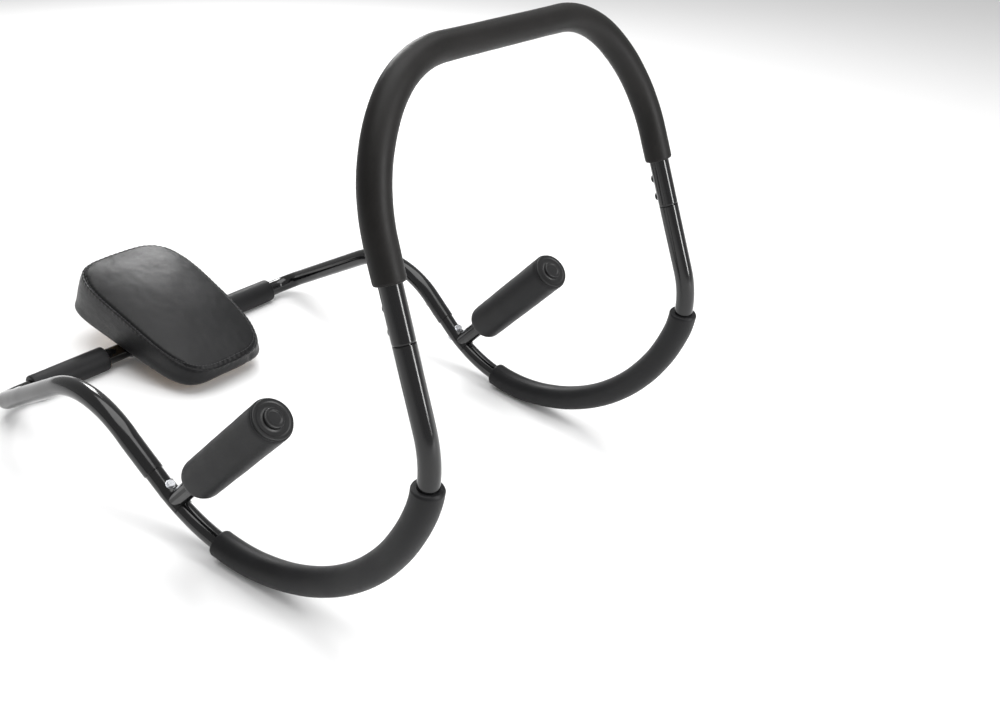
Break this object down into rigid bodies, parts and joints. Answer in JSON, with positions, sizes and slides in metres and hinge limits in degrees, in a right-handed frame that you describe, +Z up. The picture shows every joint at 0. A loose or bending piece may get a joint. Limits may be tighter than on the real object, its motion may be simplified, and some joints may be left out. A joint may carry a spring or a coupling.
{
  "type": "ab crunch machine",
  "caption": "Rocking ab crunch frame of bent black tube with a foam-covered push bar, foam rockers, arm handles and a tilting wedge head pad.",
  "frame": {"origin": "centre of the overall box, on the floor", "axes": "+X to the right-hand side, +Y from the head pad towards the push bar, +Z up, as it stands on its rocker foams and crossbar sleeves"},
  "size_m": [0.6274, 1.0066, 0.6762],
  "materials": {
    "gloss_black_paint": "gloss black powder paint on steel tube",
    "grip_foam": "matte warm black closed-cell foam",
    "charcoal_foam": "matte charcoal closed-cell foam",
    "black_vinyl": "satin black upholstery vinyl over foam",
    "plywood": "plain plywood",
    "black_plastic": "matte black moulded plastic",
    "bright_steel": "zinc plated sheet steel",
    "zinc_fastener": "zinc plated fastener",
    "black_screw": "black oxide screw"
  },
  "bodies": {
    "frame": {"left_crossbar_sleeve": "charcoal_foam", "left_handle_bolt": "zinc_fastener", "left_handle_end_plug": "black_plastic", "left_handle_foam": "charcoal_foam", "left_handle_nut": "zinc_fastener", "left_handle_post": "gloss_black_paint", "left_rear_screw_back": "black_screw", "left_rear_screw_front": "black_screw", "left_rocker_foam": "charcoal_foam", "left_rocker_tube": "gloss_black_paint", "left_upper_screw_high": "black_screw", "left_upper_screw_low": "black_screw", "push_bar": "gloss_black_paint", "push_bar_grip": "grip_foam", "rear_frame": "gloss_black_paint", "right_crossbar_sleeve": "charcoal_foam", "right_handle_bolt": "zinc_fastener", "right_handle_end_plug": "black_plastic", "right_handle_foam": "charcoal_foam", "right_handle_nut": "zinc_fastener", "right_handle_post": "gloss_black_paint", "right_rear_screw_back": "black_screw", "right_rear_screw_front": "black_screw", "right_rocker_foam": "charcoal_foam", "right_rocker_tube": "gloss_black_paint", "right_upper_screw_high": "black_screw", "right_upper_screw_low": "black_screw"},
    "head_pad": {"head_pad_board": "plywood", "head_pad_cushion": "black_vinyl", "left_pad_saddle": "black_plastic", "left_pad_screw_front": "zinc_fastener", "left_pad_screw_rear": "zinc_fastener", "left_pad_strap": "bright_steel", "right_pad_saddle": "black_plastic", "right_pad_screw_front": "zinc_fastener", "right_pad_screw_rear": "zinc_fastener", "right_pad_strap": "bright_steel"}
  },
  "joints": [
    {"name": "head_pad_tilt", "type": "hinge", "parent": "frame", "child": "head_pad", "pos_m": [0, -0.3742, 0.0208], "axis": [1, 0, 0], "range_deg": [-3.5, 25]}
  ]
}
